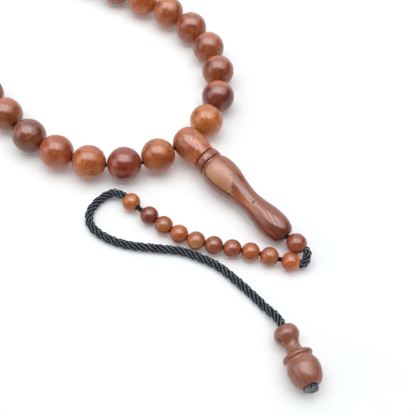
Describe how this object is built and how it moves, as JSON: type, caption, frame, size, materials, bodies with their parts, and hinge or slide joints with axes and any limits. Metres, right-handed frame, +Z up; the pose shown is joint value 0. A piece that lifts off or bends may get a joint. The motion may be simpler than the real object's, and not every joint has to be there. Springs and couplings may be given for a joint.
{
  "type": "misbaha prayer beads",
  "caption": "Loop of polished round wooden prayer beads on a black cord, closed by a turned imam with a long stem, then small counter beads and a rope tail with a turned finial.",
  "frame": {"origin": "on the table under the middle of the laid-out wooden pieces' box", "axes": "+Z up from the table; +Y away from the viewer of the picture, towards the loop's far end; +X to the viewer's right"},
  "size_m": [0.176, 0.1719, 0.0103],
  "materials": {
    "bead_wood_light": "polished orange-brown hardwood",
    "bead_wood_mid": "polished mid red-brown hardwood",
    "bead_wood_dark": "polished dark maroon-brown hardwood",
    "imam_wood": "polished red-brown hardwood with a pale sapwood patch",
    "finial_wood": "satin pinkish-brown hardwood",
    "cord_black": "matt black twisted cord"
  },
  "bodies": {
    "cord_and_head": {"imam_head": "imam_wood", "rope_end_seal": "cord_black", "loop_cord": "cord_black", "stem_cord": "cord_black", "junction_knot": "cord_black", "counter_cord": "cord_black", "tail_rope": "cord_black"},
    "bead_01": {"bead_01": "bead_wood_light"},
    "bead_02": {"bead_02": "bead_wood_dark"},
    "bead_03": {"bead_03": "bead_wood_mid"},
    "bead_04": {"bead_04": "bead_wood_mid"},
    "bead_05": {"bead_05": "bead_wood_dark"},
    "bead_06": {"bead_06": "bead_wood_light"},
    "bead_07": {"bead_07": "bead_wood_mid"},
    "bead_08": {"bead_08": "bead_wood_mid"},
    "bead_09": {"bead_09": "bead_wood_dark"},
    "bead_10": {"bead_10": "bead_wood_mid"},
    "bead_11": {"bead_11": "bead_wood_light"},
    "bead_12": {"bead_12": "bead_wood_mid"},
    "bead_13": {"bead_13": "bead_wood_dark"},
    "bead_14": {"bead_14": "bead_wood_mid"},
    "bead_15": {"bead_15": "bead_wood_light"},
    "bead_16": {"bead_16": "bead_wood_mid"},
    "bead_17": {"bead_17": "bead_wood_dark"},
    "bead_18": {"bead_18": "bead_wood_mid"},
    "bead_19": {"bead_19": "bead_wood_mid"},
    "bead_20": {"bead_20": "bead_wood_light"},
    "bead_21": {"bead_21": "bead_wood_dark"},
    "bead_22": {"bead_22": "bead_wood_mid"},
    "bead_23": {"bead_23": "bead_wood_light"},
    "bead_24": {"bead_24": "bead_wood_mid"},
    "bead_25": {"bead_25": "bead_wood_dark"},
    "bead_26": {"bead_26": "bead_wood_mid"},
    "bead_27": {"bead_27": "bead_wood_mid"},
    "bead_28": {"bead_28": "bead_wood_mid"},
    "bead_29": {"bead_29": "bead_wood_dark"},
    "bead_30": {"bead_30": "bead_wood_mid"},
    "bead_31": {"bead_31": "bead_wood_light"},
    "bead_32": {"bead_32": "bead_wood_dark"},
    "bead_33": {"bead_33": "bead_wood_light"},
    "separator_01": {"separator_01": "bead_wood_dark"},
    "separator_02": {"separator_02": "bead_wood_dark"},
    "imam_stem": {"imam_stem": "imam_wood"},
    "stem_end_bead": {"stem_end_bead": "imam_wood"},
    "counter_01": {"counter_01": "bead_wood_light"},
    "counter_02": {"counter_02": "bead_wood_dark"},
    "counter_03": {"counter_03": "bead_wood_mid"},
    "counter_04": {"counter_04": "bead_wood_light"},
    "counter_05": {"counter_05": "bead_wood_mid"},
    "counter_06": {"counter_06": "bead_wood_dark"},
    "counter_07": {"counter_07": "bead_wood_mid"},
    "counter_08": {"counter_08": "bead_wood_mid"},
    "counter_09": {"counter_09": "bead_wood_mid"},
    "counter_10": {"counter_10": "bead_wood_light"},
    "finial": {"finial": "finial_wood"}
  },
  "joints": [
    {"name": "bead_01_spin", "type": "hinge", "parent": "cord_and_head", "child": "bead_01", "pos_m": [0.05298, -0.00593, 0.00523], "axis": [0.4626, 0.8859, -0.0335], "continuous": true},
    {"name": "bead_02_spin", "type": "hinge", "parent": "cord_and_head", "child": "bead_02", "pos_m": [0.05581, 0.00391, 0.00505], "axis": [0.0756, 0.9971, -0.0003], "continuous": true},
    {"name": "bead_03_spin", "type": "hinge", "parent": "cord_and_head", "child": "bead_03", "pos_m": [0.05509, 0.01415, 0.00505], "axis": [-0.2133, 0.977, 0], "continuous": true},
    {"name": "bead_04_spin", "type": "hinge", "parent": "cord_and_head", "child": "bead_04", "pos_m": [0.05131, 0.02367, 0.00505], "axis": [-0.516, 0.8566, 0], "continuous": true},
    {"name": "bead_05_spin", "type": "hinge", "parent": "cord_and_head", "child": "bead_05", "pos_m": [0.04494, 0.03173, 0.00505], "axis": [-0.7136, 0.7006, 0], "continuous": true},
    {"name": "bead_06_spin", "type": "hinge", "parent": "cord_and_head", "child": "bead_06", "pos_m": [0.03674, 0.03791, 0.00505], "axis": [-0.8701, 0.4929, 0], "continuous": true},
    {"name": "bead_07_spin", "type": "hinge", "parent": "cord_and_head", "child": "bead_07", "pos_m": [0.0275, 0.04251, 0.00505], "axis": [-0.9181, 0.3964, 0], "continuous": true},
    {"name": "bead_08_spin", "type": "hinge", "parent": "cord_and_head", "child": "bead_08", "pos_m": [0.01813, 0.04678, 0.00505], "axis": [-0.901, 0.4338, 0], "continuous": true},
    {"name": "bead_09_spin", "type": "hinge", "parent": "cord_and_head", "child": "bead_09", "pos_m": [0.00887, 0.05128, 0.00505], "axis": [-0.8983, 0.4395, 0], "continuous": true},
    {"name": "bead_10_slide", "type": "slide", "parent": "cord_and_head", "child": "bead_10", "axis": [-0.8977, 0.4405, 0], "range_m": [0, 0.0127]},
    {"name": "bead_11_spin", "type": "hinge", "parent": "cord_and_head", "child": "bead_11", "pos_m": [-0.02102, 0.06591, 0.00505], "axis": [-0.8995, 0.4369, 0], "continuous": true},
    {"name": "bead_12_spin", "type": "hinge", "parent": "cord_and_head", "child": "bead_12", "pos_m": [-0.03351, 0.07201, 0.00505], "axis": [-0.8966, 0.4429, 0], "continuous": true},
    {"name": "bead_13_spin", "type": "hinge", "parent": "cord_and_head", "child": "bead_13", "pos_m": [-0.0428, 0.07647, 0.00505], "axis": [-0.906, 0.4234, 0], "continuous": true},
    {"name": "bead_14_spin", "type": "hinge", "parent": "cord_and_head", "child": "bead_14", "pos_m": [-0.0525, 0.07994, 0.00505], "axis": [-0.9689, 0.2475, 0], "continuous": true},
    {"name": "bead_15_spin", "type": "hinge", "parent": "cord_and_head", "child": "bead_15", "pos_m": [-0.06267, 0.08033, 0.00505], "axis": [-0.9852, -0.1711, 0], "continuous": true},
    {"name": "bead_16_spin", "type": "hinge", "parent": "cord_and_head", "child": "bead_16", "pos_m": [-0.07218, 0.07656, 0.00505], "axis": [-0.8344, -0.5512, 0], "continuous": true},
    {"name": "bead_17_spin", "type": "hinge", "parent": "cord_and_head", "child": "bead_17", "pos_m": [-0.07935, 0.06929, 0.00505], "axis": [-0.5394, -0.842, 0], "continuous": true},
    {"name": "bead_18_spin", "type": "hinge", "parent": "cord_and_head", "child": "bead_18", "pos_m": [-0.08301, 0.05974, 0.00505], "axis": [-0.1623, -0.9867, 0], "continuous": true},
    {"name": "bead_19_spin", "type": "hinge", "parent": "cord_and_head", "child": "bead_19", "pos_m": [-0.08193, 0.04967, 0.00505], "axis": [0.3658, -0.9307, 0], "continuous": true},
    {"name": "bead_20_spin", "type": "hinge", "parent": "cord_and_head", "child": "bead_20", "pos_m": [-0.07637, 0.04107, 0.00505], "axis": [0.7015, -0.7127, 0], "continuous": true},
    {"name": "bead_21_spin", "type": "hinge", "parent": "cord_and_head", "child": "bead_21", "pos_m": [-0.06851, 0.03442, 0.00505], "axis": [0.8192, -0.5735, 0], "continuous": true},
    {"name": "bead_22_spin", "type": "hinge", "parent": "cord_and_head", "child": "bead_22", "pos_m": [-0.05998, 0.02865, 0.00505], "axis": [0.837, -0.5472, 0], "continuous": true},
    {"name": "bead_23_spin", "type": "hinge", "parent": "cord_and_head", "child": "bead_23", "pos_m": [-0.04827, 0.02116, 0.00505], "axis": [0.8477, -0.5304, 0], "continuous": true},
    {"name": "bead_24_spin", "type": "hinge", "parent": "cord_and_head", "child": "bead_24", "pos_m": [-0.03957, 0.01565, 0.00505], "axis": [0.8419, -0.5396, 0], "continuous": true},
    {"name": "bead_25_spin", "type": "hinge", "parent": "cord_and_head", "child": "bead_25", "pos_m": [-0.031, 0.00993, 0.00505], "axis": [0.8209, -0.571, 0], "continuous": true},
    {"name": "bead_26_spin", "type": "hinge", "parent": "cord_and_head", "child": "bead_26", "pos_m": [-0.02264, 0.00392, 0.00505], "axis": [0.8027, -0.5964, 0], "continuous": true},
    {"name": "bead_27_spin", "type": "hinge", "parent": "cord_and_head", "child": "bead_27", "pos_m": [-0.01475, -0.0027, 0.00505], "axis": [0.7265, -0.6872, 0], "continuous": true},
    {"name": "bead_28_spin", "type": "hinge", "parent": "cord_and_head", "child": "bead_28", "pos_m": [-0.00737, -0.00991, 0.00505], "axis": [0.7039, -0.7103, 0], "continuous": true},
    {"name": "bead_29_spin", "type": "hinge", "parent": "cord_and_head", "child": "bead_29", "pos_m": [0.00112, -0.01702, 0.00505], "axis": [0.8251, -0.565, 0], "continuous": true},
    {"name": "bead_30_spin", "type": "hinge", "parent": "cord_and_head", "child": "bead_30", "pos_m": [0.01017, -0.02191, 0.00505], "axis": [0.9253, -0.3793, 0], "continuous": true},
    {"name": "bead_31_spin", "type": "hinge", "parent": "cord_and_head", "child": "bead_31", "pos_m": [0.02011, -0.02448, 0.00505], "axis": [0.9929, -0.119, 0], "continuous": true},
    {"name": "bead_32_spin", "type": "hinge", "parent": "cord_and_head", "child": "bead_32", "pos_m": [0.03036, -0.02407, 0.00505], "axis": [0.9801, 0.1986, 0.0008], "continuous": true},
    {"name": "bead_33_spin", "type": "hinge", "parent": "cord_and_head", "child": "bead_33", "pos_m": [0.03979, -0.02013, 0.00523], "axis": [0.8302, 0.5564, 0.0333], "continuous": true},
    {"name": "separator_01_spin", "type": "hinge", "parent": "cord_and_head", "child": "separator_01", "pos_m": [-0.02727, 0.06895, 0.00505], "axis": [-0.9002, 0.4354, 0], "continuous": true},
    {"name": "separator_02_spin", "type": "hinge", "parent": "cord_and_head", "child": "separator_02", "pos_m": [-0.05415, 0.02486, 0.00505], "axis": [0.8434, -0.5372, 0], "continuous": true},
    {"name": "imam_stem_spin", "type": "hinge", "parent": "cord_and_head", "child": "imam_stem", "pos_m": [0.05366, -0.01983, 0.00522], "axis": [0.7296, -0.6828, -0.0383], "continuous": true},
    {"name": "stem_end_bead_spin", "type": "hinge", "parent": "cord_and_head", "child": "stem_end_bead", "pos_m": [0.0811, -0.04454, 0.00381], "axis": [0.8214, -0.569, -0.0379], "continuous": true},
    {"name": "counter_01_slide", "type": "slide", "parent": "cord_and_head", "child": "counter_01", "axis": [0.7997, -0.6004, 0], "range_m": [0, 0.0014]},
    {"name": "counter_02_spin", "type": "hinge", "parent": "cord_and_head", "child": "counter_02", "pos_m": [0.03937, -0.03908, 0.00265], "axis": [-0.8416, 0.54, 0], "continuous": true},
    {"name": "counter_03_spin", "type": "hinge", "parent": "cord_and_head", "child": "counter_03", "pos_m": [0.04376, -0.0418, 0.00265], "axis": [-0.8598, 0.5106, 0], "continuous": true},
    {"name": "counter_04_spin", "type": "hinge", "parent": "cord_and_head", "child": "counter_04", "pos_m": [0.04835, -0.04414, 0.00265], "axis": [-0.9174, 0.3981, 0], "continuous": true},
    {"name": "counter_05_spin", "type": "hinge", "parent": "cord_and_head", "child": "counter_05", "pos_m": [0.05322, -0.04579, 0.00265], "axis": [-0.9705, 0.2412, 0], "continuous": true},
    {"name": "counter_06_spin", "type": "hinge", "parent": "cord_and_head", "child": "counter_06", "pos_m": [0.05828, -0.04673, 0.00265], "axis": [-0.9925, 0.1221, 0], "continuous": true},
    {"name": "counter_07_spin", "type": "hinge", "parent": "cord_and_head", "child": "counter_07", "pos_m": [0.06342, -0.04724, 0.00265], "axis": [-0.997, 0.077, 0], "continuous": true},
    {"name": "counter_08_spin", "type": "hinge", "parent": "cord_and_head", "child": "counter_08", "pos_m": [0.06856, -0.04778, 0.00265], "axis": [-0.9915, 0.1303, 0], "continuous": true},
    {"name": "counter_09_spin", "type": "hinge", "parent": "cord_and_head", "child": "counter_09", "pos_m": [0.07385, -0.04866, 0.00265], "axis": [-0.9802, 0.1979, 0], "continuous": true},
    {"name": "counter_10_slide", "type": "slide", "parent": "cord_and_head", "child": "counter_10", "axis": [-0.9888, 0.149, 0], "range_m": [0, 0.0007]},
    {"name": "finial_spin", "type": "hinge", "parent": "cord_and_head", "child": "finial", "pos_m": [0.07795, -0.06934, 0.00344], "axis": [0.4349, -0.8956, 0.0941], "continuous": true}
  ]
}
